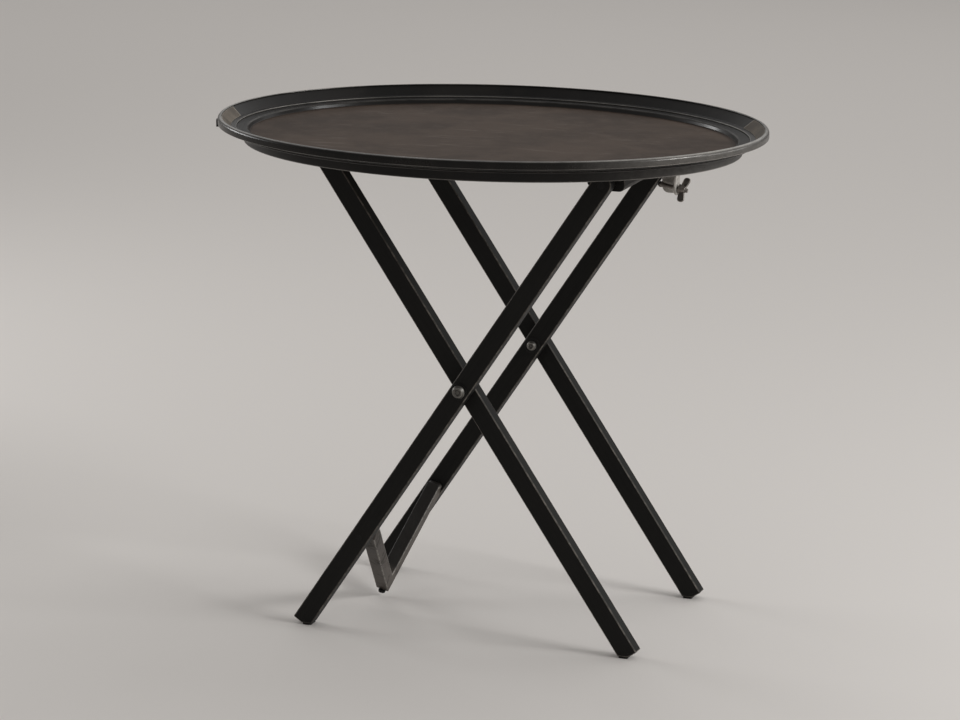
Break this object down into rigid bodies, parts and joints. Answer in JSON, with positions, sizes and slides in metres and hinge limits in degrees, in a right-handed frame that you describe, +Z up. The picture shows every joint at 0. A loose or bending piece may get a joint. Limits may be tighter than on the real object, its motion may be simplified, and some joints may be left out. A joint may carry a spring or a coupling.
{
  "type": "folding tray table",
  "caption": "Oval metal tray with a stepped floor and a flared rim on crossed folding legs; the tray hinges on one rod, sits on the other under a wing screw clamp, and a drop prop hangs below.",
  "frame": {"origin": "on the floor under the middle of the tray", "axes": "+X along the tray towards its clamped end, +Y to the rear, +Z up"},
  "size_m": [0.719, 0.552, 0.65],
  "materials": {
    "tray_enamel": "blackened sheet steel, mottled brown, rubbed bright along the lip",
    "leg_black": "black stained hardwood, rubbed along the edges",
    "rod_black": "blackened steel",
    "bolt_steel": "dull grey steel",
    "clamp_steel": "worn light grey steel",
    "prop_steel": "grey brown worn steel bar",
    "foot_rubber": "black rubber"
  },
  "bodies": {
    "fixed_frame": {"leg_front_inner": "leg_black", "leg_rear_outer": "leg_black", "glide_front_right": "foot_rubber", "glide_rear_right": "foot_rubber", "hinge_rod": "rod_black", "pivot_bolt_front": "bolt_steel", "pivot_bolt_rear": "bolt_steel", "head_washer_front": "bolt_steel", "head_washer_rear": "bolt_steel", "mid_washer_front": "bolt_steel", "mid_washer_rear": "bolt_steel", "pivot_nut_front": "bolt_steel", "pivot_nut_rear": "bolt_steel"},
    "cross_frame": {"leg_front_outer": "leg_black", "leg_rear_inner": "leg_black", "glide_front_left": "foot_rubber", "glide_rear_left": "foot_rubber", "catch_rod": "rod_black", "prop_pin_front": "rod_black", "prop_pin_rear": "rod_black"},
    "tray": {"tray_pan": "tray_enamel", "floor_plate": "tray_enamel", "foot_ring": "tray_enamel", "gallery_band": "tray_enamel", "rim_hoop": "tray_enamel", "end_plate_left": "tray_enamel", "end_plate_right": "tray_enamel", "hanging_tab": "tray_enamel", "hinge_batten": "leg_black", "catch_batten": "leg_black", "hinge_batten_screws": "bolt_steel", "catch_batten_screws": "bolt_steel", "clamp_bracket": "clamp_steel", "bracket_rivets": "clamp_steel"},
    "prop": {"prop_arm_front": "prop_steel", "prop_arm_rear": "prop_steel", "prop_shoe": "foot_rubber"},
    "wing_screw": {"wing_screw": "clamp_steel", "wing_head": "clamp_steel"}
  },
  "joints": [
    {"name": "leg_fold", "type": "hinge", "parent": "fixed_frame", "child": "cross_frame", "pos_m": [0.016, 0, 0.3315], "axis": [0, -1, 0], "range_deg": [0, 62]},
    {"name": "tray_tilt", "type": "hinge", "parent": "fixed_frame", "child": "tray", "pos_m": [-0.16946, 0, 0.6075], "axis": [0, -1, 0], "range_deg": [0, 90.5]},
    {"name": "prop_swing", "type": "hinge", "parent": "cross_frame", "child": "prop", "pos_m": [-0.12209, 0, 0.126], "axis": [0, 1, 0], "range_deg": [-55, 19]},
    {"name": "wing_screw_turn", "type": "hinge", "parent": "tray", "child": "wing_screw", "pos_m": [0.18885, 0.122, 0.5586], "axis": [0.9848, 0, -0.1736], "continuous": true}
  ],
  "couplings": [
    {"joint": "tray_tilt", "follows": "leg_fold", "ratio": 1.4516}
  ]
}
